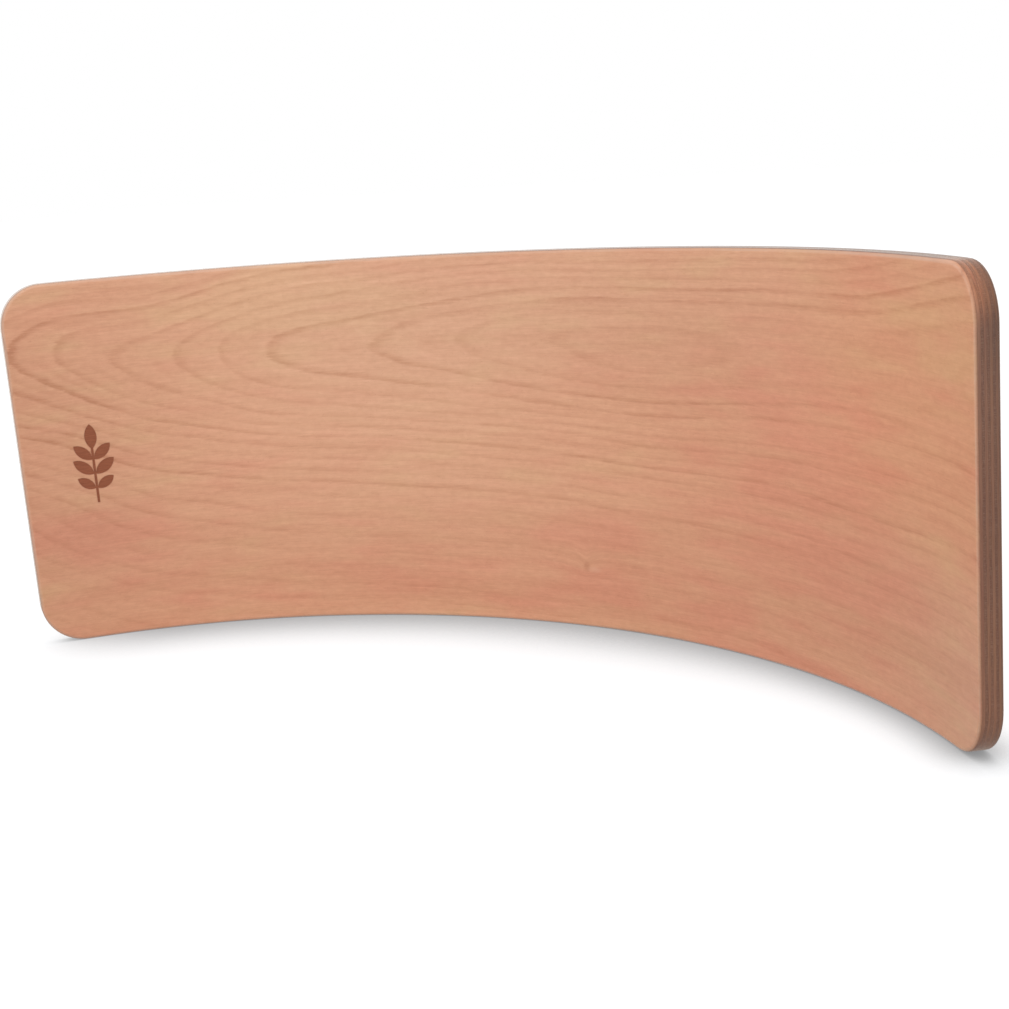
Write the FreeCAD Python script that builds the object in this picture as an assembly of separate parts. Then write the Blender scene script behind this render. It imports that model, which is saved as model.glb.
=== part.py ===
"""Curved balance board, free-standing on one long edge.

A moulded plywood rocker: nine veneers with glue lines between them, cut to a
rounded rectangle, rounded over along the edges of both faces, with a leaf
sprig burnt into the concave face near the -X end.

Millimetres. +X runs along the board, +Y from the open, concave side to the
belly, +Z up across its width. Origin at the bottom centre of the bounding box.

Points on the board are given by "along", the arc length on the concave face
from the middle (positive towards +X), and "depth", from the concave face
towards the belly. Each veneer and each glue line is a solid in its own file.
"""

import FreeCAD, Part
import math
import os

Vector = FreeCAD.Vector

# ---------------------------------------------------------------- dimensions
WIDTH = 300.0
MIDDLE_RADIUS = 526.0    # concave radius of the middle arc
END_RADIUS = 460.0       # concave radius of the outer arcs, tangent to it
HALF_MIDDLE = 223.5      # half the middle arc's length, on the concave face
END_LENGTH = 223.5       # length of each outer arc, on the concave face
HALF_LENGTH = HALF_MIDDLE + END_LENGTH

VENEER = 1.65            # pressed thickness of one veneer
GLUE = 0.10              # cured glue line
VENEER_NAMES = (         # from the concave face to the belly
    "veneer_1_face",
    "veneer_2_crossband",
    "veneer_3_long_grain",
    "veneer_4_crossband",
    "veneer_5_centre_core",
    "veneer_6_crossband",
    "veneer_7_long_grain",
    "veneer_8_crossband",
    "veneer_9_back",
)
VENEERS = len(VENEER_NAMES)
THICKNESS = VENEERS * VENEER + (VENEERS - 1) * GLUE

CORNER_RADIUS = 35.0     # the four corners of the outline
EDGE_RADIUS = 3.0        # roundover along both faces' edges

# ------------------------------------------------------- centres of the arcs
JOINT_ANGLE = HALF_MIDDLE / MIDDLE_RADIUS    # where the middle arc meets an outer one
CENTRE_STEP_X = (MIDDLE_RADIUS - END_RADIUS) * math.sin(JOINT_ANGLE)
CENTRE_STEP_Y = (MIDDLE_RADIUS - END_RADIUS) * math.cos(JOINT_ANGLE)

# The belly's crest and the roundover at the tips' concave edges bound the
# board in Y. Both are measured from the middle of the concave face.
ROUNDOVER_ANGLE = JOINT_ANGLE + (END_LENGTH - EDGE_RADIUS) / END_RADIUS
TIP_Y = (CENTRE_STEP_Y - MIDDLE_RADIUS
         + (END_RADIUS + EDGE_RADIUS) * math.cos(ROUNDOVER_ANGLE) - EDGE_RADIUS)
MID_Y = 0.5 * (THICKNESS + TIP_Y)

MIDDLE_CENTRE_Y = -MIDDLE_RADIUS - MID_Y     # its X is 0
END_CENTRE_X = CENTRE_STEP_X                 # for the +X end; the -X end mirrors it
END_CENTRE_Y = MIDDLE_CENTRE_Y + CENTRE_STEP_Y

# ------------------------------------------------------------ the burnt mark
MARK_ALONG = -389.0      # position of the sprig's own origin
MARK_Z = 148.0
MARK_DEPTH = 0.30
PRISM_LENGTH = 8.0       # leaf and stem prisms, centred on the face at the origin

# The sprig is drawn flat: u along the board towards +X, v up its width.
STEM_BOTTOM, STEM_TOP = -31.9, 14.3
STEM_HALF_WIDTH = 0.935
TOP_LEAF = (0.0, 13.2, 20.9, 4.84, 90.0)     # base u, base v, length, half-width, degrees
SIDE_LEAF_U = 0.77       # base of each side leaf, either side of the stem
SIDE_LEAVES = (          # pairs: base v, length, half-width, degrees above the u axis
    (4.4, 18.7, 4.29, 42.0),
    (-7.7, 19.8, 4.51, 38.0),
    (-19.8, 16.5, 3.96, 34.0),
)


# ------------------------------------------------------- the curved section
def normal_angle(along):
    """Angle of the normal from +Y towards +X."""
    distance = abs(along)
    if distance <= HALF_MIDDLE:
        angle = distance / MIDDLE_RADIUS
    else:
        angle = JOINT_ANGLE + (distance - HALF_MIDDLE) / END_RADIUS
    return math.copysign(angle, along)


def board_point(along, depth, z=0.0):
    angle = abs(normal_angle(along))
    if abs(along) <= HALF_MIDDLE:
        centre_x, centre_y, radius = 0.0, MIDDLE_CENTRE_Y, MIDDLE_RADIUS
    else:
        centre_x, centre_y, radius = END_CENTRE_X, END_CENTRE_Y, END_RADIUS
    x = centre_x + (radius + depth) * math.sin(angle)
    y = centre_y + (radius + depth) * math.cos(angle)
    return Vector(math.copysign(x, along), y, z)


def board_position(point):
    """(along, depth) of a point: the inverse of board_point."""
    x = abs(point.x)
    y = point.y - MIDDLE_CENTRE_Y
    angle = math.atan2(x, y)
    if angle <= JOINT_ANGLE:
        along = angle * MIDDLE_RADIUS
        depth = math.hypot(x, y) - MIDDLE_RADIUS
    else:
        x -= END_CENTRE_X
        y = point.y - END_CENTRE_Y
        along = HALF_MIDDLE + (math.atan2(x, y) - JOINT_ANGLE) * END_RADIUS
        depth = math.hypot(x, y) - END_RADIUS
    return math.copysign(along, point.x), depth


def arc_chain(stations, depth):
    """One arc at this depth between each two neighbouring stations."""
    return [
        Part.Arc(board_point(start, depth),
                 board_point(0.5 * (start + end), depth),
                 board_point(end, depth)).toShape()
        for start, end in zip(stations, stations[1:])
    ]


def curved_sheet(depth_0, depth_1, past_tips=0.0, past_sides=0.0):
    """A sheet between two depths, oversized past the tips and the long edges."""
    half = HALF_LENGTH + past_tips
    stations = (-half, -HALF_MIDDLE, HALF_MIDDLE, half)
    edges = arc_chain(stations, depth_0)
    edges.append(Part.makeLine(board_point(half, depth_0), board_point(half, depth_1)))
    edges += arc_chain(stations[::-1], depth_1)
    edges.append(Part.makeLine(board_point(-half, depth_1), board_point(-half, depth_0)))
    wire = Part.Wire(Part.__sortEdges__(edges))
    sheet = Part.Face(wire).extrude(Vector(0, 0, WIDTH + 2 * past_sides))
    sheet.translate(Vector(0, 0, -past_sides))
    return sheet


# ----------------------------------------------------------- the whole board
def is_corner(edge):
    """True for the straight edges through the thickness at the outline's corners."""
    if len(edge.Vertexes) != 2:
        return False
    start, end = (vertex.Point for vertex in edge.Vertexes)
    return abs(edge.Length - THICKNESS) < 1e-4 and abs(start.z - end.z) < 1e-6


def is_rim(edge):
    """True for the edges around both faces, but not the seams where arcs meet."""
    span = edge.LastParameter - edge.FirstParameter
    points = [edge.valueAt(edge.FirstParameter + part * span) for part in (0.0, 0.3, 0.6, 1.0)]
    depths = [board_position(point)[1] for point in points]
    on_face = any(all(abs(depth - face) < 1e-3 for depth in depths)
                  for face in (0.0, THICKNESS))
    heights = [point.z for point in points]
    crosses_width = max(heights) - min(heights) > WIDTH - 2 * CORNER_RADIUS - 1
    at_joint = abs(abs(board_position(points[0])[0]) - HALF_MIDDLE) < 1.0
    return on_face and not (crosses_width and at_joint)


def rounded_board():
    """The full laminate with rounded corners and edges; the layers are cut from it."""
    body = curved_sheet(0.0, THICKNESS)
    body = body.makeFillet(CORNER_RADIUS, [edge for edge in body.Edges if is_corner(edge)])
    return body.makeFillet(EDGE_RADIUS, [edge for edge in body.Edges if is_rim(edge)])


# ------------------------------------------------------------ the burnt mark
def mark_cutter():
    """Leaf and stem prisms along the local normal, held to the mark's depth."""
    angle = normal_angle(MARK_ALONG)
    normal = Vector(math.sin(angle), math.cos(angle), 0)
    tangent = Vector(math.cos(angle), -math.sin(angle), 0)
    base = board_point(MARK_ALONG, 0.0, MARK_Z) - normal * (PRISM_LENGTH / 2)

    def at(u, v):
        return base + tangent * u + Vector(0, 0, v)

    def prism(wire):
        return Part.Face(wire).extrude(normal * PRISM_LENGTH)

    def leaf(base_u, base_v, length, half_width, degrees):
        """Two arcs from the leaf's base to its tip and back."""
        cos, sin = math.cos(math.radians(degrees)), math.sin(math.radians(degrees))

        def leaf_point(forward, sideways):
            return at(base_u + forward * cos - sideways * sin,
                      base_v + forward * sin + sideways * cos)

        start, tip = leaf_point(0.0, 0.0), leaf_point(length, 0.0)
        out = Part.Arc(start, leaf_point(length / 2, half_width), tip)
        back = Part.Arc(tip, leaf_point(length / 2, -half_width), start)
        return prism(Part.Wire([out.toShape(), back.toShape()]))

    prisms = [leaf(*TOP_LEAF)]
    for base_v, length, half_width, degrees in SIDE_LEAVES:
        prisms.append(leaf(SIDE_LEAF_U, base_v, length, half_width, degrees))
        prisms.append(leaf(-SIDE_LEAF_U, base_v, length, half_width, 180.0 - degrees))
    left, right = -STEM_HALF_WIDTH, STEM_HALF_WIDTH
    prisms.append(prism(Part.makePolygon([
        at(left, STEM_BOTTOM), at(right, STEM_BOTTOM),
        at(right, STEM_TOP), at(left, STEM_TOP), at(left, STEM_BOTTOM),
    ])))
    skin = curved_sheet(-2.0, MARK_DEPTH, past_tips=20.0, past_sides=5.0)
    return prisms[0].multiFuse(prisms[1:]).common(skin)


# ---------------------------------------------------------------- the layers
def cut_layer(board, depth, thickness):
    return board.common(curved_sheet(depth, depth + thickness, past_tips=30.0, past_sides=10.0))


def export(shape, name):
    assert len(shape.Solids) == 1 and shape.Solids[0].isValid(), name
    shape.Solids[0].exportStep("parts/%s.step" % name)


def main():
    os.makedirs("parts", exist_ok=True)
    board = rounded_board()
    depth = 0.0
    for number, name in enumerate(VENEER_NAMES, start=1):
        veneer = cut_layer(board, depth, VENEER)
        if number == 1:
            veneer = veneer.cut(mark_cutter())
        export(veneer, name)
        depth += VENEER
        if number < VENEERS:
            glue_name = "glue_line_%d_%d" % (number, number + 1)
            export(cut_layer(board, depth, GLUE), glue_name)
            depth += GLUE


main()
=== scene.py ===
"""The looks of a curved balance board: nine beech veneers and eight glue lines under a clear
satin lacquer, with a leaf sprig burnt into the face, on a pale floor in soft studio light.

The board stands on one long edge. Its length bends along x, z runs up its width from the floor,
the hollow face looks to -y and the belly to +y. Places on it are given in mm as
  arc   length along the hollow face from the middle, positive towards +x,
  high  height above the lower edge,
  deep  depth behind the face.
"""
import math

import bpy
import numpy as np
from mathutils import Matrix, Vector
from mathutils.geometry import delaunay_2d_cdt


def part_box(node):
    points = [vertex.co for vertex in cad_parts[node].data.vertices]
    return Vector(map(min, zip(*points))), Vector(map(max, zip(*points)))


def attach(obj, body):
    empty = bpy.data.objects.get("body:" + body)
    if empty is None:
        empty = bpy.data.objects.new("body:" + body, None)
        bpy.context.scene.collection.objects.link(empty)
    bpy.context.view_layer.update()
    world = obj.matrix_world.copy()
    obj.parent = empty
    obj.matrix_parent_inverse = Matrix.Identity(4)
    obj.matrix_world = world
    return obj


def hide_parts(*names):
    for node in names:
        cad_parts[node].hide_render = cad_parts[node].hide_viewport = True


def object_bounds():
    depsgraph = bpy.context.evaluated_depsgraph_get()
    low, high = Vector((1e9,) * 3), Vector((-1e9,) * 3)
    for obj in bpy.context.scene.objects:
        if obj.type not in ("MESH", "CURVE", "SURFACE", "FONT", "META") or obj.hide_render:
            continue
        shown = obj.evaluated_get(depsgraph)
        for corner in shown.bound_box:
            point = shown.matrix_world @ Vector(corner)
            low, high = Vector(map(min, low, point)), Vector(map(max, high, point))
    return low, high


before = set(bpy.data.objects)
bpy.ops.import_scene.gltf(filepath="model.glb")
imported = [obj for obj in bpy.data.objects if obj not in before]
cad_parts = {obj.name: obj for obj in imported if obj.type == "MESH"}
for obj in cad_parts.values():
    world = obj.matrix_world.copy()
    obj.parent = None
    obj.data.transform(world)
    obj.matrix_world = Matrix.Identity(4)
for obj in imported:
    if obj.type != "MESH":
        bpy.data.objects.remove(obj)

cad_lo, cad_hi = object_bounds()

# ------------------------------------------------------------------ dimensions, mm
MM = 0.001
WIDTH = (cad_hi.z - cad_lo.z) * 1000.0
R_CENTRE = 526.0                    # the face's radius in the middle
R_END = 460.0                       # and towards the tips
HALF_CENTRE = 223.5                 # arc length where one meets the other
A_CENTRE = HALF_CENTRE / R_CENTRE
ARC_TIP = 447.0
T_VENEER = 1.65
T_GLUE = 0.10
PITCH = T_VENEER + T_GLUE
THICK = 9 * T_VENEER + 8 * T_GLUE
R_CORNER = 35.0
R_EDGE = 3.0                        # the roundover along face and belly
Y_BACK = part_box("veneer_9_back")[1].y * 1000.0      # the belly's crest
Y_FACE = Y_BACK - THICK                             # the face at the middle of the board
ARRIS = 0.11                        # each veneer's eased edge
GROOVE = 0.07                       # how far the resin sits below the edge

# The mesh's columns (arc) and rows (high, or a share of the width)
N_ARC = 16                                             # columns in each rounded corner
PHI = np.linspace(0.0, math.pi / 2, N_ARC + 1)[:-1]    # 0 at the tip, then up to the straight part
FINE_COLS = np.arange(-409.0, 411.5, 4.0)
FINE_HEIGHTS = np.concatenate([[3.0, 3.4, 4.4], np.arange(6.0, 294.5, 3.0), [295.6, 296.6, 297.0]])
FINE_ROWS = (FINE_HEIGHTS - R_EDGE) / (WIDTH - 2 * R_EDGE)
COARSE_COLS = np.linspace(-408.0, 408.0, 137)
COARSE_ROWS = np.linspace(0.0, 1.0, 21)
ROUNDOVER_STEPS, SLOPE_STEPS = 14, 6                   # loops down the side of a layer

# The burnt mark, and the patch of the face's grid that is cut out for it
MARK_ARC, MARK_HIGH, MARK_DEPTH, MARK_SCALE = -389.0, 148.0, 0.30, 1.1
PATCH_ARCS, PATCH_HEIGHTS = (-409.0, -369.0), (111.0, 186.0)
PATCH_STEP, PATCH_JITTER, PATCH_CLEAR = 0.9, 0.08, 0.33
LEAF_STEPS = 14                                        # segments along each side of a leaf
HALO, HALO_REACH = 0.42, 0.55                          # scorch beside the mark
STEM = ((-0.85, -29.0), (0.85, -29.0), (0.85, 13.0), (-0.85, 13.0))
LEAVES = (                          # base across, base up, length, half width, angle in degrees
    (0.0, 12.0, 19.0, 4.4, 90.0),
    (0.7, 4.0, 17.0, 3.9, 42.0), (-0.7, 4.0, 17.0, 3.9, 138.0),
    (0.7, -7.0, 18.0, 4.1, 38.0), (-0.7, -7.0, 18.0, 4.1, 142.0),
    (0.7, -18.0, 15.0, 3.6, 34.0), (-0.7, -18.0, 15.0, 3.6, 146.0))

# Soft patches on the face: centre arc, centre high, reach along, reach up, amount
PINK_PATCHES = (                    # pinker, or yellower where negative
    (-385, 84, 75, 24, 0.9), (80, 205, 75, 26, 0.30), (255, 100, 130, 60, 0.75),
    (-60, 30, 180, 26, 0.35), (330, 190, 120, 45, 0.25), (-170, 262, 190, 30, -0.45),
    (-320, 225, 90, 35, -0.25), (395, 262, 60, 28, -0.55), (40, 78, 80, 20, 0.45),
    (-230, 165, 110, 22, -0.2), (420, 60, 40, 60, -0.25), (200, 20, 150, 34, 0.45))
# paler patches high on the left half of the face, where a painted reflection of the lacquer goes
PALE_PATCHES = ((-135, 185, 190, 120, 1.0), (-40, 300, 330, 60, 0.5))
TONE_PATCHES = (                    # lighter, or darker where negative
    (320, 220, 130, 90, 0.032), (405, 45, 55, 50, -0.045), (-400, 85, 55, 45, -0.025),
    (170, 25, 150, 30, -0.020), (-430, 180, 110, 120, -0.068), (0, 245, 300, 55, -0.060),
    (150, 225, 110, 40, -0.020))

# Ring count along the axis of the arches: arc stations, then counts
FACE_CREST = ((-460, -407, -314, -236, -153, -77, 5, 95, 190, 290, 415, 460),
              (0.65, 2.16, 4, 6, 7, 8, 9, 9.45, 9.0, 8.7, 9.0, 9.3))
BACK_CREST = ((-460, -300, -160, 0, 120, 240, 340, 460),
              (3.2, 4.6, 6.1, 7.0, 6.3, 5.6, 6.3, 8.2))


# ------------------------------------------------------------------ curves
def section(arc, deep):
    """x and y, in mm, of places on the board."""
    arc = np.asarray(arc, float)
    reach = np.abs(arc)
    middle = reach <= HALF_CENTRE
    angle = np.where(middle, reach / R_CENTRE, A_CENTRE + (reach - HALF_CENTRE) / R_END)
    radius = np.where(middle, R_CENTRE, R_END) + deep
    step = R_CENTRE - R_END
    x = radius * np.sin(angle) + np.where(middle, 0.0, step * math.sin(A_CENTRE))
    y = radius * np.cos(angle) + np.where(middle, 0.0, step * math.cos(A_CENTRE)) - R_CENTRE
    return np.copysign(x, arc), y + Y_FACE


def smooth_curve(x, stations, values):
    """A Hermite curve through a few points."""
    xs, ys = np.array(stations, float), np.array(values, float)
    slope = np.gradient(ys, xs)
    i = np.clip(np.searchsorted(xs, x) - 1, 0, len(xs) - 2)
    gap = xs[i + 1] - xs[i]
    t = np.clip((x - xs[i]) / gap, 0.0, 1.0)
    return (ys[i] * (1 + 2 * t) * (1 - t) ** 2 + slope[i] * gap * t * (1 - t) ** 2
            + ys[i + 1] * t * t * (3 - 2 * t) + slope[i + 1] * gap * t * t * (t - 1))


def rise(x, start, end):
    """A smooth step from 0 at start to 1 at end."""
    t = np.clip((x - start) / (end - start), 0.0, 1.0)
    return t * t * (3 - 2 * t)


def hump(x, centre, reach):
    return np.exp(-((x - centre) / reach) ** 2)


def soft_ramp(x, start, width=8.0):
    return np.logaddexp(0.0, (x - start) / width) * width


def patches(arc, high, table):
    return sum(amount * hump(arc, arc_0, along) * hump(high, high_0, up)
               for arc_0, high_0, along, up, amount in table)


# ------------------------------------------------------------ growth ring fields
# A rotary-cut sheet slices the trunk's growth layers at a shallow angle. Each field
# counts growth rings over the sheet: nested arches where the sheet only grazes the
# layers, near-parallel lines where it cuts them more steeply.

def bend_face(arc, high):
    """How far, in mm, the fibres dip at the pin knot."""
    return 8.0 * np.exp(-np.abs(arc - 30) / 13.0) * hump(high, 53, 13.0)


def rings_face(arc, high, deep):
    # the lower lines squeeze together towards +x
    squeeze = 20.0 * rise(arc, 90, 330) * (1 - 0.15 * rise(arc, 370, 447))
    high = high + squeeze * np.clip((195 - high) / 105, 0, 1)
    # distance from the arches' axis, stretched above it
    axis = 231 + 15 * (1 - rise(arc, -425, -325)) - 5 * hump(arc, 110, 90)
    stretch = 1.15 - 0.35 * rise(arc, 270, 440) + 0.08 * (1 - rise(arc, -330, -200))
    off = high - axis
    off = np.where(off > 0, off * stretch, -off)
    crest = smooth_curve(arc, *FACE_CREST)
    fade = 1 / (1 + (off / 125) ** 2)
    # rings crossed on the way out: rounded at the axis, then closer, then wider apart
    away = (np.sqrt(625 + off ** 2) - 25) / 10.4
    away = away + 0.022 * (soft_ramp(off, 62) - 2.0 * soft_ramp(off, 128))
    # blunt tips to the arches
    blunt = 0.04 + 0.18 * rise(arc, -430, -320)
    away = away - blunt * (off / 25) ** 2 * np.exp(1 - (off / 25) ** 2)
    # a band of closer lines beside the arches
    extra = 0.42 + 0.34 * hump(arc, 20, 100) - 0.18 * hump(arc, 320, 60)
    away = away + extra * rise(off, 50, 78) * (1 - rise(off, 112, 150))
    # the lines fall away at the -x tip
    lean = 1.5 * np.exp(-(arc + 447) / 42) * (1 - rise(high, 125, 222))
    dip = bend_face(arc, high) * 0.067
    return 8.6 + (crest - 8.6) * fade - away - lean + dip + 0.30 * deep


def rings_back(arc, high, deep):
    off = np.abs(high - (128 + 16 * np.sin(arc / 190.0 + 0.8)))
    crest = smooth_curve(arc, *BACK_CREST)
    fade = 1 / (1 + (off / 100) ** 2)
    away = (np.sqrt(900 + off ** 2) - 30) / 13.5 + 0.05 * soft_ramp(off, 75)
    return 6.0 + (crest - 6.0) * fade - away - 0.30 * deep


def rings_hidden(seed, crossed=False):
    """Plain swaying lines for the layers that show only at the edge."""
    # ring spacing; sway and its length; ripple, its length and phase; spacing in depth; offset
    spacing, sway, sway_long, ripple, ripple_long, phase, deep_spacing, offset = (
        (19.0, 1.7, 75.0, 0.9, 85.0, 1.7, 1.2, 5.1) if crossed
        else (17.0, 1.6, 150.0, 0.8, 60.0, 2.1, 1.3, 7.3))

    def field(arc, high, deep):
        main, other = (arc, high) if crossed else (high, arc)
        return (main / spacing + sway * np.sin(other / sway_long + seed)
                + ripple * np.sin(main / ripple_long + phase * seed)
                + deep / deep_spacing + offset * seed)
    return field


def vivid_face(arc, high):
    """How strongly the growth lines show: clear in the arches, faint near the lower edge."""
    vivid = 0.46 + 0.54 * rise(high, 62, 125)
    tip_band = (1 - rise(arc, -390, -345)) * rise(high, 125, 165) * (1 - rise(high, 250, 280))
    quiet = rise(arc, 100, 330) * rise(high, 136, 150) * (1 - rise(high, 243, 254))
    return vivid * (1.0 + 0.80 * tip_band) * (1.0 - 0.40 * quiet)


def vivid_back(arc, high):
    return 0.55 + 0.45 * np.cos((high - 140) / 60.0)


# --------------------------------------------------------------------- meshing
def tip_arc(back, deep):
    """Arc length, on the face, of a point 'back' mm in from the tip's plane."""
    return ARC_TIP - R_END * np.arcsin(back / (R_END + deep))


def columns(inner, inset, deep):
    """Each column's arc length, and the heights of its low and high ends."""
    corner = tip_arc(R_CORNER - (R_CORNER - inset) * np.cos(PHI), deep)
    edge = R_CORNER - (R_CORNER - inset) * np.sin(PHI)
    middle = inner * float(tip_arc(R_CORNER, deep)) / float(tip_arc(R_CORNER, 0.0))
    low = np.concatenate([edge, np.full(len(middle), float(inset)), edge[::-1]])
    return np.concatenate([-corner, middle, corner[::-1]]), low, WIDTH - low


def roundover(deep):
    """How far the roundovers hold the outline in, and how far round to the side it faces."""
    over = max(R_EDGE - deep, R_EDGE - (THICK - deep), 0.0)
    inset = R_EDGE - math.sqrt(max(R_EDGE ** 2 - over ** 2, 0.0))
    return inset, 1.0 - min(1.0, over / R_EDGE) ** 2


class Sheet:
    """One layer of the laminate as a closed mesh on a grid of columns and rows."""

    def __init__(self, inner, rows):
        self.inner, self.rows = inner, rows
        self.verts, self.faces = [], []
        self.end, self.side = [], []        # normal's share along the board, and round to the side
        self.count = 0

    def put(self, arc, high, deep, end, side):
        """Adds points and returns their numbers."""
        arc = np.ravel(arc)
        new = len(arc)
        self.verts.append(np.stack([arc, np.ravel(high), np.full(new, float(deep))], 1))
        self.end.append(np.broadcast_to(np.ravel(end), (new,)))
        self.side.append(np.full(new, float(side)))
        self.count += new
        return np.arange(self.count - new, self.count)

    def column_ends(self):
        turn = np.cos(PHI)
        return np.concatenate([turn, np.zeros(len(self.inner)), turn[::-1]])

    def grid(self, inset, deep, side):
        """A full grid of rows by columns."""
        arc, low, high = columns(self.inner, inset, deep)
        shape = (len(self.rows), len(arc))
        heights = low + self.rows[:, None] * (high - low)
        ends = np.broadcast_to(self.column_ends(), shape)
        return self.put(np.broadcast_to(arc, shape), heights, deep, ends, side).reshape(shape)

    def rim(self, grid):
        """The grid's boundary as a loop: bottom, +x end, top, -x end."""
        return np.concatenate([grid[0, :], grid[1:-1, -1], grid[-1, ::-1], grid[-2:0:-1, 0]])

    def loop(self, inset, deep, side):
        """Only the boundary loop."""
        arc, low, high = columns(self.inner, inset, deep)
        ends = self.column_ends()
        rows = self.rows[1:-1]
        one = np.ones(len(rows))
        up = low[-1] + rows * (high[-1] - low[-1])
        return self.put(np.concatenate([arc, one * arc[-1], arc[::-1], one * arc[0]]),
                        np.concatenate([low, up, high[::-1], up[::-1]]), deep,
                        np.concatenate([ends, one, ends[::-1], one]), side)

    def quads(self, grid, flip, hole=None):
        corners = [grid[:-1, :-1], grid[:-1, 1:], grid[1:, 1:], grid[1:, :-1]]
        keep = np.ones(corners[0].shape, bool)
        if hole is not None:
            (i0, i1), (j0, j1) = hole
            keep[i0:i1, j0:j1] = False
        if flip:
            corners[1], corners[3] = corners[3], corners[1]
        self.faces.append(np.stack([corner[keep] for corner in corners], 1))

    def band(self, one, two):
        """Quads between two loops, the first nearer the face."""
        self.faces.append(np.stack([one, two, np.roll(two, -1), np.roll(one, -1)], 1))


def write_mesh(name, sheet, rings, vivid=None, extra=(), burn=None):
    """Turns a Sheet into an object whose attributes drive the materials."""
    verts = np.concatenate(sheet.verts)
    arc, high, deep = verts.T
    x, y = section(arc, deep)
    points = np.stack([x, y, high], 1) * MM
    points[:, 2] += cad_lo.z
    faces = [face.tolist() for block in sheet.faces for face in block]
    mesh = bpy.data.meshes.new(name)
    mesh.from_pydata(points.tolist(), [], faces + [list(face) for face in extra])
    mesh.validate()
    end, side = np.concatenate(sheet.end), np.concatenate(sheet.side)
    slope = np.hypot(rings(arc + 0.5, high, deep) - rings(arc - 0.5, high, deep),
                     rings(arc, high + 0.5, deep) - rings(arc, high - 0.5, deep))
    blank = np.zeros(len(arc))
    front = burn is not None
    # painted light: the face is painted up to 3.5 % lighter towards its top, as if lit from above
    tone = 0.035 * rise(high, 60, 165) + patches(arc, high, TONE_PATCHES)
    values = {
        "bend": bend_face(arc, high) if front else blank,
        "rings": rings(arc, high, deep),
        "closeness": np.clip(slope, 0.004, 0.25),       # rings per millimetre
        "tipward": end ** 2 * side,                     # share of the normal along the board
        "edgeward": (1 - end ** 2) * side,              # share across the board
        "pink": patches(arc, high, PINK_PATCHES) if front else blank,
        "pale": patches(arc, high, PALE_PATCHES) if front else blank,
        "tone": tone if front else blank,
        "vivid": vivid(arc, high) if vivid else blank + 0.8,
        "burn": burn if front else blank,
    }
    place = mesh.attributes.new("place", "FLOAT_VECTOR", "POINT")
    place.data.foreach_set("vector", np.ascontiguousarray(verts, np.float32).ravel())
    for label, numbers in values.items():
        attribute = mesh.attributes.new(label, "FLOAT", "POINT")
        attribute.data.foreach_set("value", np.asarray(numbers, np.float32))
    mesh.shade_smooth()
    mesh.set_sharp_from_angle(angle=math.radians(32.0))
    ob = bpy.data.objects.new(name, mesh)
    bpy.context.scene.collection.objects.link(ob)
    return ob


# ---------------------------------------------------------------- the leaf mark
def on_face(across, up):
    return MARK_ARC + MARK_SCALE * across, MARK_HIGH + MARK_SCALE * up


def leaf_outline(across, up, length, half, angle):
    """A lens of two equal arcs through the base, the tip and half the width each side."""
    radius = (length * length / 4 + half * half) / (2 * half)
    sweep = math.asin(length / 2 / radius)
    cos, sin = math.cos(math.radians(angle)), math.sin(math.radians(angle))
    points = []
    for way in (1, -1):
        for t in np.linspace(-sweep, sweep, LEAF_STEPS + 1)[:-1]:
            x = length / 2 + way * radius * math.sin(t)
            y = -way * (radius * math.cos(t) - (radius - half))
            points.append(on_face(across + cos * x - sin * y, up + sin * x + cos * y))
    return points


def outline_distance(points, outlines):
    """Distance from each point to the nearest outline."""
    best = np.full(len(points), 1e9)
    for outline in outlines:
        corners = np.array(outline)
        for start, end in zip(corners, np.roll(corners, -1, 0)):
            line = end - start
            t = np.clip(((points - start) @ line) / max(line @ line, 1e-9), 0, 1)
            best = np.minimum(best, np.hypot(*(points - start - t[:, None] * line).T))
    return best


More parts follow.
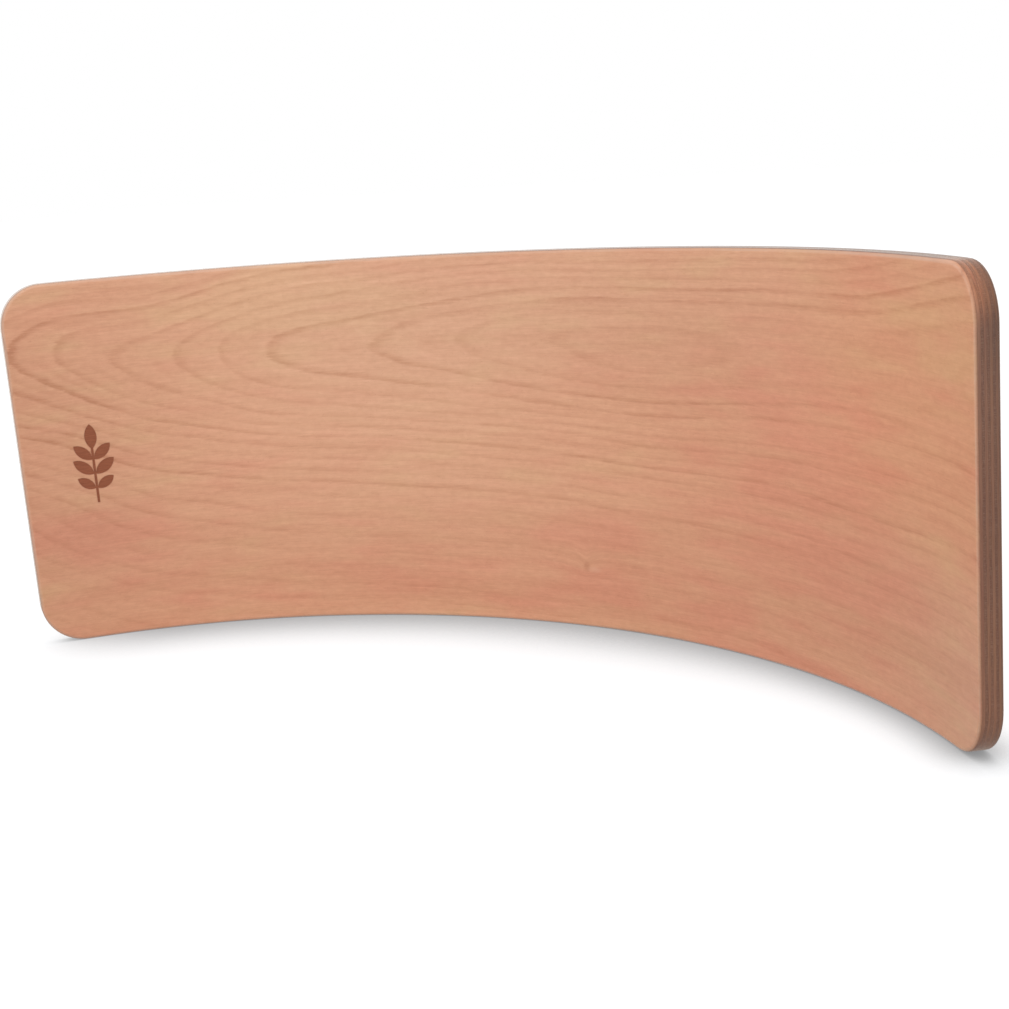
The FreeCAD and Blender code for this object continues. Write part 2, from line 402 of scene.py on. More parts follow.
def engrave(sheet, grid, hole):
    """Fills the hole in the face's grid with a patch that carries the sunk mark.

    Returns the patch's faces and the burn value of every vertex."""
    (i0, i1), (j0, j1) = hole
    verts = np.concatenate(sheet.verts)
    ring = ([grid[i0, j] for j in range(j0, j1)] + [grid[i, j1] for i in range(i0, i1)]
            + [grid[i1, j] for j in range(j1, j0, -1)] + [grid[i, j0] for i in range(i1, i0, -1)])
    points = [tuple(verts[k, :2]) for k in ring]
    edges = [(k, (k + 1) % len(ring)) for k in range(len(ring))]
    outlines = [leaf_outline(*leaf) for leaf in LEAVES] + [[on_face(*point) for point in STEM]]
    polygons = []
    for outline in outlines:
        polygons.append(list(range(len(points), len(points) + len(outline))))
        points += outline

    # jittered points fill the patch, clear of the outlines
    arc_0, high_0 = verts[grid[i0, j0], :2]
    arc_1, high_1 = verts[grid[i1, j1], :2]
    arcs, heights = np.meshgrid(
        np.arange(arc_0 + PATCH_STEP, arc_1 - PATCH_STEP * 0.5, PATCH_STEP),
        np.arange(high_0 + PATCH_STEP, high_1 - PATCH_STEP * 0.5, PATCH_STEP))
    rng = np.random.default_rng(7)
    fill = (np.stack([arcs.ravel(), heights.ravel()], 1)
            + rng.uniform(-PATCH_JITTER, PATCH_JITTER, (arcs.size, 2)))
    fill = fill[outline_distance(fill, outlines) > PATCH_CLEAR]
    points += [tuple(point) for point in fill]

    out = delaunay_2d_cdt([Vector(point) for point in points], edges, polygons, 0, 1e-5)
    flat = np.array([tuple(point) for point in out[0]])
    shared = {k: ring[i] for k, source in enumerate(out[3]) for i in source if i < len(ring)}
    triangles = [(list(face), bool(owners)) for face, owners in zip(out[2], out[5])]
    use_top = sorted({k for face, sunk in triangles if not sunk for k in face if k not in shared})
    use_low = sorted({k for face, sunk in triangles if sunk for k in face})
    top = dict(zip(use_top, sheet.put(*flat[use_top].T, 0.0, 0.0, 0.0)))
    top.update(shared)
    low = dict(zip(use_low, sheet.put(*flat[use_low].T, MARK_DEPTH, 0.0, 0.0)))
    edge_sunk = {pair: sunk for face, sunk in triangles for pair in zip(face, face[1:] + face[:1])}
    extra = []
    for face, sunk in triangles:
        extra.append([(low if sunk else top)[k] for k in face])
        if sunk:
            for a, b in zip(face, face[1:] + face[:1]):
                if not edge_sunk.get((b, a), True):
                    extra.append([top[a], top[b], low[b], low[a]])    # an upright wall
    burn = np.zeros(sheet.count)
    distance = outline_distance(flat[use_top], outlines)
    burn[[top[k] for k in use_top]] = HALO * np.exp(-distance / HALO_REACH)
    burn[[low[k] for k in use_low]] = 1.0
    return extra, burn


# ------------------------------------------------------------------- the layers
VENEERS = ("veneer_1_face", "veneer_2_crossband", "veneer_3_long_grain", "veneer_4_crossband",
           "veneer_5_centre_core", "veneer_6_crossband", "veneer_7_long_grain",
           "veneer_8_crossband", "veneer_9_back")


def add_layer(node, slot, material, sheet, *looks):
    ob = write_mesh(node + "_look", sheet, *looks)
    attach(ob, "root")
    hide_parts(node)
    ob.data.materials.append(material)


def side_depths(start, end, first, last):
    """Depths of the loops between the two caps of a veneer."""
    upper = start + (0.0 if first else ARRIS)
    lower = end - (0.0 if last else ARRIS)
    if first:
        turn = np.linspace(0, math.acos(1 - lower / R_EDGE), ROUNDOVER_STEPS)[1:]
        return R_EDGE * (1 - np.cos(turn))
    if last:
        turn = np.linspace(math.acos(1 - (THICK - upper) / R_EDGE), 0, ROUNDOVER_STEPS)[:-1]
        return THICK - R_EDGE * (1 - np.cos(turn))
    if start < R_EDGE or end > THICK - R_EDGE:
        return np.linspace(upper, lower, SLOPE_STEPS)
    return [upper, lower]


def cap(sheet, deep, outer=False):
    """A layer's face or back; hidden ones stop at the bottom of the groove."""
    inset, side = roundover(deep)
    return sheet.grid(inset, deep, 0.0) if outer else sheet.grid(inset + GROOVE, deep, side)


def nearest(values, wanted):
    return int(np.argmin(abs(values - wanted)))


def build_veneer(number, material):
    start = (number - 1) * PITCH
    end = start + T_VENEER
    first, last = number == 1, number == 9
    outer = first or last
    sheet = Sheet(FINE_COLS, FINE_ROWS) if outer else Sheet(COARSE_COLS, COARSE_ROWS)
    near, far = cap(sheet, start, first), cap(sheet, end, last)
    hole = None
    if first:
        hole = ([nearest(FINE_HEIGHTS, high) for high in PATCH_HEIGHTS],
                [N_ARC + nearest(FINE_COLS, arc) for arc in PATCH_ARCS])
    sheet.quads(near, False, hole)
    sheet.quads(far, True)
    loops = [sheet.rim(near)]
    for deep in side_depths(start, end, first, last):
        inset, side = roundover(deep)
        loops.append(sheet.loop(inset, deep, side))
    loops.append(sheet.rim(far))
    for one, two in zip(loops, loops[1:]):
        sheet.band(one, two)
    if first:
        looks = (rings_face, vivid_face, *engrave(sheet, near, hole))
    elif last:
        looks = (rings_back, vivid_back)
    elif number % 2:
        looks = (rings_hidden(0.37 * number),)
    else:
        looks = (rings_hidden(0.53 * number, crossed=True),)
    slot = "face_veneer" if outer else "long_grain_veneer" if number % 2 else "crossband_veneer"
    add_layer(VENEERS[number - 1], slot, material, sheet, *looks)


def build_glue(number, material):
    """The glue line behind veneer 'number'."""
    start = number * T_VENEER + (number - 1) * T_GLUE
    sheet = Sheet(COARSE_COLS, COARSE_ROWS)
    near, far = cap(sheet, start), cap(sheet, start + T_GLUE)
    sheet.quads(near, False)
    sheet.quads(far, True)
    sheet.band(sheet.rim(near), sheet.rim(far))
    node = "glue_line_%d_%d" % (number, number + 1)
    add_layer(node, "glue", material, sheet, rings_hidden(0.9 * number))


# ------------------------------------------------------------------- node helpers
class Signal:
    """A node's output. Arithmetic on it adds Math nodes."""

    def __init__(self, graph, socket):
        self.graph, self.socket = graph, socket

    def __add__(self, other):
        return self.graph.math("ADD", self, other)

    def __sub__(self, other):
        return self.graph.math("SUBTRACT", self, other)

    def __rsub__(self, other):
        return self.graph.math("SUBTRACT", other, self)

    def __mul__(self, other):
        return self.graph.math("MULTIPLY", self, other)

    def __truediv__(self, other):
        return self.graph.math("DIVIDE", self, other)

    def madd(self, factor, offset):
        """self * factor + offset in one node."""
        return self.graph.math("MULTIPLY_ADD", self, factor, offset)

    def ramp(self, start, end, to=(0.0, 1.0)):
        """A smooth step between the two values of 'to' as self goes from start to end."""
        return self.graph.run("ShaderNodeMapRange", enumerate((self, start, end, *to)),
                              interpolation_type="SMOOTHSTEP")

    def part(self, axis):
        """One component of a vector."""
        return self.graph.run("ShaderNodeSeparateXYZ", {0: self}, axis)


class Graph:
    """A node material and short ways to add to it."""

    def __init__(self, name):
        self.material = bpy.data.materials.new(name)
        self.material.use_nodes = True
        self.tree = self.material.node_tree
        self.tree.nodes.clear()

    def feed(self, socket, value):
        if isinstance(value, Signal):
            self.tree.links.new(value.socket, socket)
            return
        if hasattr(socket.default_value, "__len__"):
            value = list(value)
            if len(socket.default_value) == 4 and len(value) == 3:
                value.append(1.0)
        socket.default_value = value

    def node(self, kind, inputs=(), **settings):
        node = self.tree.nodes.new(kind)
        for key, value in settings.items():
            setattr(node, key, value)
        for key, value in dict(inputs).items():
            self.feed(node.inputs[key], value)
        return node

    def run(self, kind, inputs=(), output=0, **settings):
        """Adds a node and returns one of its outputs."""
        return Signal(self, self.node(kind, inputs, **settings).outputs[output])

    def math(self, operation, *values, clamp=False):
        return self.run("ShaderNodeMath", enumerate(values), operation=operation, use_clamp=clamp)

    def scale(self, vector, by):
        return self.run("ShaderNodeVectorMath", {0: vector, 1: by}, operation="MULTIPLY")

    def shift(self, vector, by):
        return self.run("ShaderNodeVectorMath", {0: vector, 1: by}, operation="ADD")

    def length(self, vector):
        return self.run("ShaderNodeVectorMath", {0: vector}, "Value", operation="LENGTH")

    def grey(self, value):
        return self.run("ShaderNodeCombineColor", enumerate([value] * 3))

    def attr(self, name, output="Fac"):
        return self.run("ShaderNodeAttribute", (), output,
                        attribute_type="GEOMETRY", attribute_name=name)

    def noise(self, vector, detail, rough):
        inputs = {"Vector": vector, "Scale": 1.0, "Detail": detail, "Roughness": rough}
        return self.run("ShaderNodeTexNoise", inputs, "Fac", noise_dimensions="3D", normalize=True)

    def curve(self, value, first, last, between):
        """A float curve from first at 0 to last at 1, through the points between."""
        node = self.node("ShaderNodeFloatCurve", {"Value": value})
        dots = node.mapping.curves[0].points
        dots[0].location, dots[1].location = (0.0, first), (1.0, last)
        for dot in between:
            dots.new(*dot)
        node.mapping.update()
        return Signal(self, node.outputs[0])

    def weigh(self, *pairs, base=None):
        """Signals summed by weight."""
        total = base
        for signal, weight in pairs:
            total = signal * weight if total is None else signal.madd(weight, total)
        return total

    def mix(self, share, one, two, blend="MIX"):
        return self.run("ShaderNodeMix", {0: share, 6: one, 7: two}, 2,
                        data_type="RGBA", blend_type=blend, clamp_factor=True)

    def multiply(self, one, two):
        return self.mix(1.0, one, two, "MULTIPLY")

    def darken(self, colour, amount, tint):
        """Multiplies the colour towards tint by amount."""
        return self.mix(amount, colour, self.multiply(colour, tint))

    def finish(self, shader):
        self.node("ShaderNodeOutputMaterial", {"Surface": shader})
        return self.material

    def surface(self, colour, rough, height, coat, coat_rough=0.26, sheen=0.0):
        bump = self.run("ShaderNodeBump", {"Strength": 1.0, "Distance": 0.00003, "Height": height})
        return self.finish(self.run("ShaderNodeBsdfPrincipled", {
            "Base Color": colour, "Roughness": rough, "Specular IOR Level": 0.30,
            "Coat Weight": coat, "Coat Roughness": coat_rough, "Coat Tint": (1.0, 0.965, 0.925),
            "Sheen Weight": sheen, "Sheen Roughness": 0.35, "Sheen Tint": (1.0, 0.90, 0.81),
            "Normal": bump}))


def srgb(*screen):
    """A colour given as 0-255 screen values, turned to linear light."""
    return tuple(((x / 255 + 0.055) / 1.055) ** 2.4 if x > 10 else x / 255 / 12.92 for x in screen)


# ------------------------------------------------------------------------- beech
# Noise drawn out along the fibres: size along, across and into the sheet in mm,
# detail, roughness and, for some, an offset
GRAIN = {
    # growth lines
    "wander": (150, 30, 8, 1, 0.5), "feather": (34, 4.5, 3.0, 2, 0.55),
    "fray": (9, 0.8, 0.8, 2, 0.5), "showing": (60, 8, 5, 2, 0.5),
    "broken": (16, 1.0, 1.0, 2, 0.5, 4.4, 7.7, 2.2), "false_ring": (150, 16, 6, 1, 0.5),
    # colour and tone, from broad to fine
    "patch": (170, 62, 20, 2, 0.5), "small_patch": (58, 15, 12, 1, 0.5, 6.6, 2.4, 9.1),
    "wash": (210, 48, 30, 1, 0.5, 7.9, 1.1, 4.8), "cloud": (75, 17, 12, 2, 0.5, 2.7, 6.1, 3.3),
    "band": (280, 11.0, 11.0, 2, 0.5), "streak": (150, 4.2, 4.2, 3, 0.55),
    "mottle": (7.4, 4.0, 4.0, 3, 0.70, 1.3, 8.8, 5.9), "short": (46, 2.0, 2.0, 2, 0.55),
    "dash": (12, 1.15, 1.15, 2, 0.6, 5.5, 1.9, 8.3), "fine": (24, 0.62, 0.62, 3, 0.6),
    "hair": (6.0, 0.22, 0.22, 1, 0.5),
    # ray flecks and the knot's outline
    "fleck": (2.6, 0.36, 0.36, 1, 0.5, 3.1, 9.2, 1.4), "crowd": (44, 13, 8, 1, 0.5),
    "pale_fleck": (5.0, 0.5, 0.5, 1, 0.5, 8.1, 2.2, 6.4), "knot": (4, 1.4, 1.4, 2, 0.5),
    # edges, lacquer and char
    "pores": (30, 0.16, 0.16, 0, 0.5), "rays": (30, 0.42, 2.6, 1, 0.5),
    "blotch": (60, 9.0, 1.2, 2, 0.5), "side_streak": (26, 0.5, 0.34, 2, 0.5),
    "wear_and_highlight": (38, 22, 6, 2, 0.5, 9.3, 4.1, 0.7), "haze": (60, 30, 30, 2, 0.5),
    "char": (9, 0.9, 0.9, 3, 0.6), "ash": (3, 0.5, 0.5, 2, 0.5),
}

# How clearly each year's line shows on the face, by ring number from -9
FACE_YEARS = (0.90, 0.50, 0.72, 0.80, 0.60, 0.36, 0.96, 0.62, 0.38, 0.58,
              0.96, 0.46, 0.66, 0.60, 0.52, 1.0, 0.94, 0.42, 0.50)

# Tints that multiply the wood
LINE = (0.80, 0.71, 0.64)
FLECK = (0.66, 0.50, 0.42)
KNOT = (0.68, 0.52, 0.44)
PORE = (0.62, 0.54, 0.50)
BLOTCH = (0.74, 0.68, 0.66)
SIDE_STREAK = (0.76, 0.68, 0.64)
CHAR_FLECK = (0.6, 0.55, 0.5)
CORNER_GLOW = (1.83, 1.68, 1.42)
# Edge tints at the -x end, then at the +x end: the -x end is painted paler as painted light, the
# +x end darker, the end grain's own darkness with painted shade
END_FAR_PAINTED_LIGHT, END_NEAR_WITH_PAINTED_SHADE = (0.82, 0.82, 0.82), (0.292, 0.238, 0.209)
SIDE_FAR_PAINTED_LIGHT = (0.70, 0.685, 0.68)
SIDE_NEAR_WITH_PAINTED_SHADE = {"arc": (0.380, 0.312, 0.274), "high": (0.334, 0.273, 0.238)}
# Colours that are mixed in
# painted reflection: the paler, greyer tint mixed in over the pale patches
PALE_REFLECTION_TINT = (0.73, 0.460, 0.305)
PALE_FLECK = (0.84, 0.60, 0.42)
KNOT_LIFT = (0.76, 0.50, 0.37)
# painted light: the -x end's edges are mixed halfway to this paler, greyer colour
FAR_END_PAINTED_PALE = (0.56, 0.455, 0.385)
RAY = (0.27, 0.15, 0.10)
# wear, and a painted highlight, along the eased edges
WEAR_AND_HIGHLIGHT_TINT = (0.50, 0.350, 0.275)
CHAR = srgb(118, 62, 38), srgb(158, 92, 62)
# How strongly slow and quick tones move red, green and blue: darker wood is a little
# redder in the large and no redder in the small
TONE_WEIGHTS = ((0.68, 0.79), (1.14, 1.05), (1.36, 1.29))


class Beech(Graph):
    """Steamed beech; its fibres run along the board ("arc") or across it ("high")."""

    def __init__(self, name, along, seed, front=False):
        super().__init__(name)
        self.along, self.seed, self.front = along, seed, front
        self.place = self.attr("place", "Vector")
        self.at = self.shift(self.place, (seed * 37.1, seed * 11.7, seed * 5.3))
        if front:
            dip = self.run("ShaderNodeCombineXYZ", {1: self.attr("bend")})
            self.at = self.shift(self.at, dip)

    def where(self, axis):
        return self.place.part(("arc", "high", "deep").index(axis))

    def grain(self, name):
        """Noise of about 0 to 1."""
        long, across, deep, detail, rough, *offset = GRAIN[name]
        first, second = (long, across) if self.along == "arc" else (across, long)
        vector = self.scale(self.at, (1 / first, 1 / second, 1 / deep))
        if offset:
            vector = self.shift(vector, offset)
        return self.noise(vector, detail, rough)

    def swing(self, name, amount=1.0):
        """Noise about zero, plus and minus roughly 'amount'."""
        return (self.grain(name) - 0.5) * (2.0 * amount)

    def year_strength(self, year):
        """Some years stand out, some hardly show."""
        rng = np.random.default_rng(int(self.seed * 10) + 5)
        shown = dict(zip(range(-16, 16), rng.uniform(0.45, 0.95, 32)))
        if self.front:
            shown.update(enumerate(FACE_YEARS, -9))
        between = [((k + 16.0) / 32.0, float(shown[k])) for k in range(-15, 15)]
        return self.curve((year + 16.0) * (1 / 32.0), 0.6, 0.6, between)

    def growth_lines(self):
        """Sets how dark the growth lines are, and each year's own tone."""
        # the lines wander in slow bends with a fibrous, feathered edge
        ring = self.attr("rings") + self.swing("wander", 0.26) + self.swing("feather", 0.085)
        ring += self.swing("fray") * self.attr("closeness").madd(0.9, 0.035)
        year = self.math("FLOOR", ring)
        since = ring - year
        strength = (self.year_strength(year)
                    * self.grain("showing").ramp(0.32, 0.62, to=(0.46, 1.24)))
        # a line is about as wide on the sheet everywhere
        broad = self.attr("closeness").madd(1.50, 0.086)
        inside = since / broad
        line = inside.ramp(0.0, 0.60) * inside.ramp(0.60, 2.3, to=(1.0, 0.0))
        line *= self.grain("broken").ramp(0.25, 0.75, to=(0.55, 1.25))
        late = self.math("POWER", 1.0 - since, 2.0) * 0.16
        dark = (line + late) * strength
        # a fainter false ring inside each true one
        half = self.math("FRACT", ring + 0.46) / broad
        false = half.ramp(0.0, 0.6) * half.ramp(0.7, 2.2, to=(1.0, 0.0))
        false *= self.grain("false_ring").ramp(0.46, 0.64)
        self.dark = false.madd(0.17, dark) * self.attr("vivid")
        run = self.at.part(0 if self.along == "arc" else 1) * (1 / 240.0)
        years = self.run("ShaderNodeCombineXYZ", {0: run, 1: ring * 1.35, 2: self.seed})
        self.year_tone = (self.noise(years, 3.0, 0.6) - 0.5) * 2.0

    def sheet_colour(self, light, pinkish, yellowish, line_depth):
        """Pinker and yellower patches, long streaks, then the growth lines."""
        patch = self.swing("patch", 0.95) + self.swing("small_patch", 1.05) + self.attr("pink")
        colour = self.mix(patch.ramp(-0.1, 1.0), light, pinkish)
        colour = self.mix(patch.ramp(0.0, -0.9), colour, yellowish)
        # painted reflection of the lacquer: the face is mixed towards a paler, greyer tint over
        # the pale patches
        colour = self.mix(self.attr("pale") * 0.40, colour, PALE_REFLECTION_TINT)
        self.streak, self.fine = self.swing("streak"), self.swing("fine")
        slow = self.weigh((self.swing("band"), 0.060), (self.swing("cloud"), 0.048),
                          (self.swing("wash"), 0.020), (self.year_tone, 0.060))
        quick = self.weigh((self.streak, 0.055), (self.swing("short"), 0.078),
                           (self.swing("dash"), 0.105), (self.fine, 0.040),
                           (self.swing("mottle"), 0.122))
        parts = [slow.madd(large, quick.madd(small, self.attr("tone") + 1.0))
                 for large, small in TONE_WEIGHTS]
        colour = self.multiply(colour, self.run("ShaderNodeCombineColor", enumerate(parts)))
        lines = self.math("MULTIPLY", self.dark, line_depth, clamp=True)
        return self.darken(colour, lines, LINE)

    def flecks(self, colour):
        """Ray flecks: short dark spindles lying along the grain, and paler ones between."""
        crowd = self.grain("crowd").ramp(0.36, 0.60, to=(0.25, 1.0))
        self.fleck = self.grain("fleck").ramp(0.665, 0.76) * crowd
        colour = self.darken(colour, self.fleck * 0.55, FLECK)
        return self.mix(self.grain("pale_fleck").ramp(0.64, 0.78) * 0.16, colour, PALE_FLECK)

    def pin_knot(self, colour):
        """A small dark knot with a paler lift beside it."""
        off = self.shift(self.place, (-30.0, -50.0, 0.0))
        wobble = self.swing("knot", 0.50)
        core = self.length(self.scale(off, (1 / 3.4, 1 / 4.6, 0.0))) + wobble
        self.knot = core.ramp(0.10, 1.35, to=(1.0, 0.0)) * 0.42
        colour = self.darken(colour, self.knot, KNOT)
        beside = self.shift(off, (-7.0, 2.0, 0.0))
        lift = self.length(self.scale(beside, (1 / 7.0, 1 / 2.6, 0.0))) + wobble
        return self.mix(lift.ramp(0.1, 1.3, to=(1.0, 0.0)) * 0.20, colour, KNOT_LIFT)

    def edge_shade(self, depth):
        """How dark the painted shade on the edges goes: darker to the belly side and on the
        belly's last rim, lighter low and darker high at the +x end.
        """
        shade = depth.ramp(7.0, 14.0, to=(1.0, 0.88)) * self.last.madd(-0.74, 1.0)
        shade *= self.where("high").ramp(150.0, 30.0, to=(0.0, 0.13)).madd(self.near_end, 1.0)
        upper = self.where("high").ramp(215.0, 275.0) * (
            self.near_end * depth.ramp(3.0, 12.0, to=(0.0, 0.30)))
        return shade * (1.0 - upper)

    def edges(self, colour):
        """End grain, side grain and the eased edges between them and the face, with wear and a
        painted highlight on the eased edges and painted light and shade over them all.
        """
        self.tip, self.edge = tip, edge = self.attr("tipward"), self.attr("edgeward")
        self.end, self.side = (tip, edge) if self.along == "arc" else (edge, tip)
        self.cover = cover = self.end + self.side
        depth = self.where("deep")
        self.near_end = near_end = self.where("arc").ramp(-260.0, 160.0)
        # the belly's last rim round the +x tip, painted as shade: darker, with less coat and sheen
        self.last = tip.ramp(0.0, 0.35) * near_end * depth.ramp(13.0, 14.8)
        shade = self.edge_shade(depth)

        # where the fibres come out the wood drinks lacquer and darkens; the -x end is painted
        # paler and greyer, which is painted light, and the +x end darker, partly painted shade
        colour_paled_far_end = self.mix(near_end.madd(-0.5, 0.5), colour, FAR_END_PAINTED_PALE)
        self.pores = self.grain("pores").ramp(0.50, 0.66)
        ended = self.multiply(colour_paled_far_end, self.mix(near_end, END_FAR_PAINTED_LIGHT, END_NEAR_WITH_PAINTED_SHADE))
        ended = self.darken(ended, self.pores * 0.55, PORE)
        ended = self.mix(self.grain("rays").ramp(0.50, 0.64) * 0.30, ended, RAY)
        ended = self.darken(ended, self.grain("blotch").ramp(0.35, 0.68) * 0.45, BLOTCH)
        sided = self.multiply(colour_paled_far_end, self.mix(near_end, SIDE_FAR_PAINTED_LIGHT, SIDE_NEAR_WITH_PAINTED_SHADE[self.along]))
        streaks = self.grain("side_streak").ramp(0.46, 0.70) * 0.50
        sided = self.darken(sided, streaks, SIDE_STREAK)

        # the eased edges are paler, rubbed thin here and there, and carry a painted highlight
        # along the roundover
        rub_and_highlight_band = cover.ramp(0.01, 0.16) * cover.ramp(0.30, 0.75, to=(1.0, 0.0))
        wear_and_highlight = rub_and_highlight_band * self.grain("wear_and_highlight").ramp(0.34, 0.66, to=(0.35, 1.0))
        self.wear_and_highlight = wear_and_highlight * (1.0 - tip * self.where("deep").ramp(9.0, 13.0))
        colour = self.mix(self.wear_and_highlight * 0.42, colour, WEAR_AND_HIGHLIGHT_TINT)

        # painted shade laid over the edges, from the face's eased edge back
        dim_from = depth.ramp(12.0, 13.5, to=(1.0, 0.1)) * 0.3
        dim = self.mix(cover.ramp(dim_from, 0.9), (1.0, 1.0, 1.0), self.grey(shade))
        # the rim starts sooner round the +x tip
        rim_from = self.where("arc").ramp(-200.0, 200.0, to=(0.42, 0.24)) * tip + edge * 0.60
        open_end = self.math("MULTIPLY", self.end, 0.97, clamp=True)
        rim = self.mix((open_end / (cover + 0.001)).ramp(0.15, 0.75), sided, ended)
        # the upper corner at the +x end catches more warm light
        corner = self.where("arc").ramp(385.0, 425.0) * self.where("high").ramp(260.0, 287.0)
        corner *= depth.ramp(4.0, 15.0, to=(1.0, 0.6))
        rim = self.mix(corner, rim, self.multiply(rim, CORNER_GLOW))
        colour = self.mix(cover.ramp(rim_from, 0.97), colour, rim)
        return self.multiply(colour, dim)

    def lacquer(self):
        """Coat weight, cut on surfaces that face down, round the +x edges and on the belly's last
        rim there: painted shade on the coat's reflection.
        """
        edge_gain = self.where("arc").ramp(-200.0, 340.0).madd(-0.40, 0.52)
        coat = self.cover.ramp(0.05, 0.50).madd(edge_gain, 0.45)
        normal = self.run("ShaderNodeNewGeometry", output="Normal")
        coat *= normal.part(2).ramp(-0.85, -0.10, to=(0.15, 1.0))
        coat *= 1.0 - self.tip * self.where("deep").ramp(12.5, 15.4) * 0.75
        coat *= 1.0 - self.edge * self.where("arc").ramp(120.0, 420.0, to=(0.0, 0.55))
        return coat * self.last.madd(-0.9, 1.0)

    def burnt_mark(self, colour, rough, coat, height):
        """Charred brown with the grain still showing, a scorched halo round it."""
        burn = self.attr("burn")
        char = self.darken(self.mix(self.grain("char"), *CHAR), self.fleck * 0.6, CHAR_FLECK)
        height = self.weigh((burn * self.grain("ash"), 2.0), (self.knot, -1.2), base=height)
        return (self.mix(burn.ramp(0.02, 0.92), colour, char), burn.madd(0.20, rough),
                coat * (1.0 - burn * 0.8), height)

    def build(self, shades, line_depth):
        self.growth_lines()
        colour = self.flecks(self.sheet_colour(*shades, line_depth))
        if self.front:
            colour = self.pin_knot(colour)
        colour = self.edges(colour)
        rough = self.weigh((self.fine, 0.05), (self.dark, -0.03), (self.swing("haze"), 0.05),
                           (self.end, 0.14), (self.wear_and_highlight, 0.07), base=0.46)
        height = self.weigh((self.swing("hair"), 0.30), (self.fine, 0.45), (self.dark, -0.05),
                            (self.fleck, -0.60), (self.pores * self.end, -1.6),
                            (self.streak * self.side, 0.5))
        coat = self.lacquer()
        if self.front:
            colour, rough, coat, height = self.burnt_mark(colour, rough, coat, height)
        return self.surface(colour, rough, height, coat, coat_rough=self.cover.madd(-0.08, 0.26),
                            sheen=self.cover.madd(0.50, 0.05) * self.last.madd(-0.9, 1.0))


def resin(name, seed):
    """The cured glue line: brown, slightly glossy, starved and pooled along its length."""
    glue = Graph(name)
    at = glue.shift(glue.attr("place", "Vector"), (seed * 19.0, seed * 7.0, 0.0))
    pool = glue.noise(glue.scale(at, (1 / 14.0, 1 / 14.0, 1 / 2.0)), detail=3.0, rough=0.6)
    grit = glue.noise(glue.scale(at, (1 / 0.6, 1 / 0.6, 1 / 0.3)), detail=2.0, rough=0.5)
    colour = glue.mix(pool.ramp(0.30, 0.70), srgb(88, 58, 42), srgb(132, 92, 68))
    colour = glue.darken(colour, grit * 0.5, tint=(0.8, 0.76, 0.72))
    return glue.surface(colour, rough=pool.madd(0.30, 0.30), height=grit * 0.6, coat=0.10)


# Shades: light, pinkish, yellowish
FACE_SHADES = srgb(206, 150, 118), srgb(206, 141, 113), srgb(206, 158, 121)
LONG_SHADES = srgb(200, 146, 116), srgb(192, 134, 110), srgb(202, 152, 118)
CROSS_SHADES = srgb(203, 152, 122), srgb(196, 140, 114), srgb(207, 158, 124)

beech = {
    1: Beech("beech_face", "arc", 1.0, front=True).build(FACE_SHADES, line_depth=0.59),
    9: Beech("beech_back", "arc", 2.3).build(FACE_SHADES, line_depth=0.70),
}
for k in (3, 5, 7):
    beech[k] = Beech("beech_long_grain_%d" % k, "arc", 3.0 + k).build(LONG_SHADES, 1.0)
for k in (2, 4, 6, 8):
    beech[k] = Beech("beech_crossband_%d" % k, "high", 13.0 + k).build(CROSS_SHADES, 1.0)

for k in range(1, 10):
    build_veneer(k, beech[k])
for k in range(1, 9):
    build_glue(k, resin("glue_%d_%d" % (k, k + 1), float(k)))


# ------------------------------------------------------------------------- floor
def floor_material():
    """Near white to the camera, with soft contact shade; a plain grey to other rays."""
    floor = Graph("studio_floor")
    along = floor.run("ShaderNodeNewGeometry", output="Position").part(0)
    # the shade reaches less far, in metres, towards both tips
    reach = (0.095 - along.ramp(0.0, 0.37, to=(0.0, 0.056))
             - along.ramp(-0.41, -0.27, to=(0.034, 0.0)))
    sky = floor.run("ShaderNodeAmbientOcclusion", {"Distance": reach}, "AO", samples=8)
    sky += (1.0 - sky) * along.ramp(-0.42, -0.30, to=(0.60, 0.0))
    light = floor.curve(sky, 0.30, 1.0, ((0.50, 0.47), (0.62, 0.60), (0.75, 0.77), (0.90, 0.94)))
    seen = floor.run("ShaderNodeLightPath", output="Is Camera Ray")
    shade = floor.multiply((0.985, 0.99, 1.0), floor.grey(light))
    diffuse = floor.run("ShaderNodeBsdfDiffuse", {"Color": floor.mix(
        seen, (0.58, 0.58, 0.58), floor.multiply(shade, (0.22, 0.22, 0.22)))})
    # light that the board's own shadow would otherwise lose
    out = floor.length(floor.run("ShaderNodeNewGeometry", output="Position"))
    lift = light.madd(-0.28, 0.32) + out.ramp(0.7, 1.7, to=(0.0, 0.38))
    glow = floor.run("ShaderNodeEmission", {"Color": floor.mix(seen, floor.grey(lift), shade),
                                            "Strength": seen.madd(-0.16, 1.0)})
    return floor.finish(floor.run("ShaderNodeAddShader", {0: diffuse, 1: glow}))


def build_floor(half=9):
    mesh = bpy.data.meshes.new("floor")
    corners = ((-half, -half), (half, -half), (half, half), (-half, half))
    mesh.from_pydata([(x, y, cad_lo.z) for x, y in corners], [], [(0, 1, 2, 3)])
    ob = bpy.data.objects.new("floor", mesh)
    bpy.context.scene.collection.objects.link(ob)
    mesh.materials.append(floor_material())


build_floor()

# ------------------------------------------------------------------------- light
world = bpy.data.worlds.new("studio")
bpy.context.scene.world = world
world.use_nodes = True
background = world.node_tree.nodes["Background"]
background.inputs["Color"].default_value = (1.0, 1.0, 1.0, 1.0)
background.inputs["Strength"].default_value = 1.0


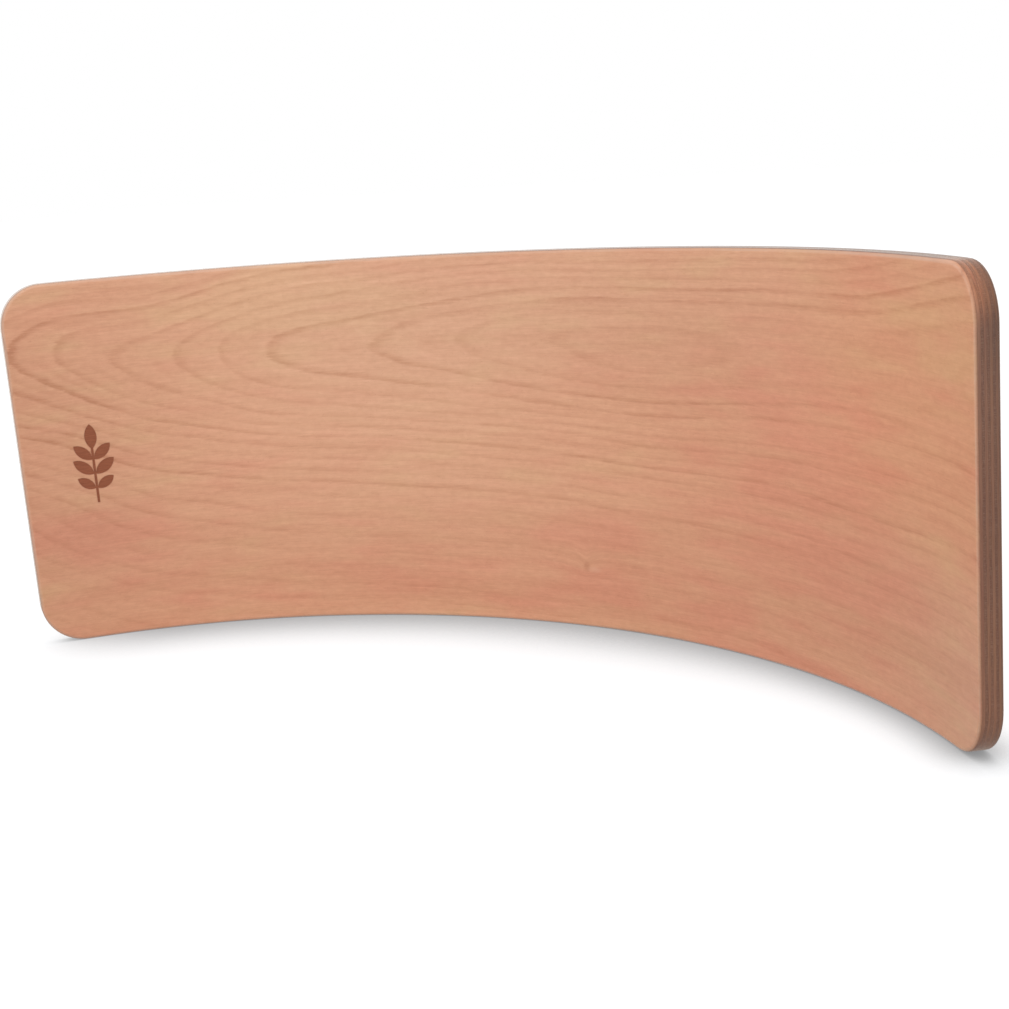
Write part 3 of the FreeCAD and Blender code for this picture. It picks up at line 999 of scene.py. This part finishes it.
def soft_sun(name, towards, strength, spread, colour):
    """A broad, even light from far off, like a large diffuser."""
    lamp = bpy.data.lights.new(name, "SUN")
    lamp.energy, lamp.angle, lamp.color = strength, spread, colour
    ob = bpy.data.objects.new(name, lamp)
    ob.rotation_mode = "QUATERNION"
    ob.rotation_quaternion = Vector(towards).to_track_quat("-Z", "Y")
    ob.location = (-Vector(towards)).normalized() * 3.0
    bpy.context.scene.collection.objects.link(ob)


soft_sun("front_diffuser", towards=(-0.45, 1.0, -0.75), strength=0.46, spread=1.0,
         colour=(1.0, 0.985, 0.965))
soft_sun("top_diffuser", towards=(0.05, 0.25, -1.0), strength=0.42, spread=1.2,
         colour=(0.99, 0.995, 1.0))

# ------------------------------------------------------------------------ camera
YAW, PITCH_DOWN, ROLL = -0.5570168, 0.2234002, 0.0787474      # radians
CAMERA_AT = (0.6468376, (Y_FACE - 1106.4347) * MM, 0.3925614 + cad_lo.z)
SENSOR, LENS = 36.0, 58.835246                                # mm
SHIFT = 0.00049554014                                         # share of the sensor's width


def add_camera():
    level = math.cos(PITCH_DOWN)
    ahead = Vector((math.sin(YAW) * level, math.cos(YAW) * level, -math.sin(PITCH_DOWN)))
    right = Vector((math.cos(YAW), -math.sin(YAW), 0.0))
    down = ahead.cross(right)
    rolled_right = right * math.cos(ROLL) + down * math.sin(ROLL)
    rolled_down = down * math.cos(ROLL) - right * math.sin(ROLL)
    camera = bpy.data.cameras.new("camera")
    camera.sensor_width, camera.lens = SENSOR, LENS
    camera.shift_x, camera.shift_y = -SHIFT, SHIFT
    camera.clip_start, camera.clip_end = 0.05, 50.0
    ob = bpy.data.objects.new("camera", camera)
    rows = zip(rolled_right, -rolled_down, -ahead, CAMERA_AT)
    ob.matrix_world = Matrix((*rows, (0.0, 0.0, 0.0, 1.0)))
    bpy.context.scene.collection.objects.link(ob)
    bpy.context.scene.camera = ob


add_camera()
bpy.context.scene.view_settings.view_transform = "Standard"
bpy.context.scene.view_settings.look = "None"
